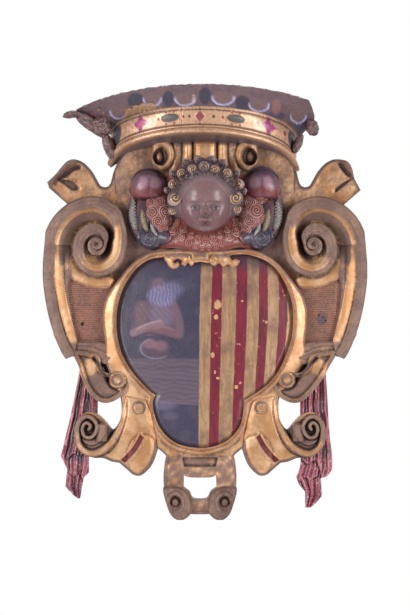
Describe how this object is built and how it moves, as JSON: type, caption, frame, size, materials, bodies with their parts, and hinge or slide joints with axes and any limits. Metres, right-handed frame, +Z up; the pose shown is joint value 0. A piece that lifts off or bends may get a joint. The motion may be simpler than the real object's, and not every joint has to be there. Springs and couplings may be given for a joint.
{
  "type": "carved coat of arms",
  "caption": "Carved, gilded and painted wooden wall cartouche with a domed shield, scrolled frame, winged child's head and a broken crown on top.",
  "frame": {"origin": "point on the flat back, on the wall behind the middle of the shield", "axes": "+Y out of the back into the wall, the carving faces -Y, +Z up, +X to the right as seen from the front"},
  "size_m": [0.6488, 0.166, 0.862],
  "materials": {
    "gilded_wood": "worn gilding over red bole",
    "painted_panel": "old satin paint, blue-grey ground and red and gold stripes",
    "painted_crown": "worn brown paint with a gilded band and painted jewels",
    "painted_carving": "old flesh, red and blue paint with traces of gilding",
    "lacquered_drapery": "dark red glaze over wood, worn on the folds"
  },
  "bodies": {
    "root": {"cartouche": "gilded_wood", "shield_panel": "painted_panel", "crown": "painted_crown", "winged_cherub": "painted_carving", "drapery_tail_left": "lacquered_drapery", "drapery_tail_right": "lacquered_drapery"}
  },
  "joints": []
}
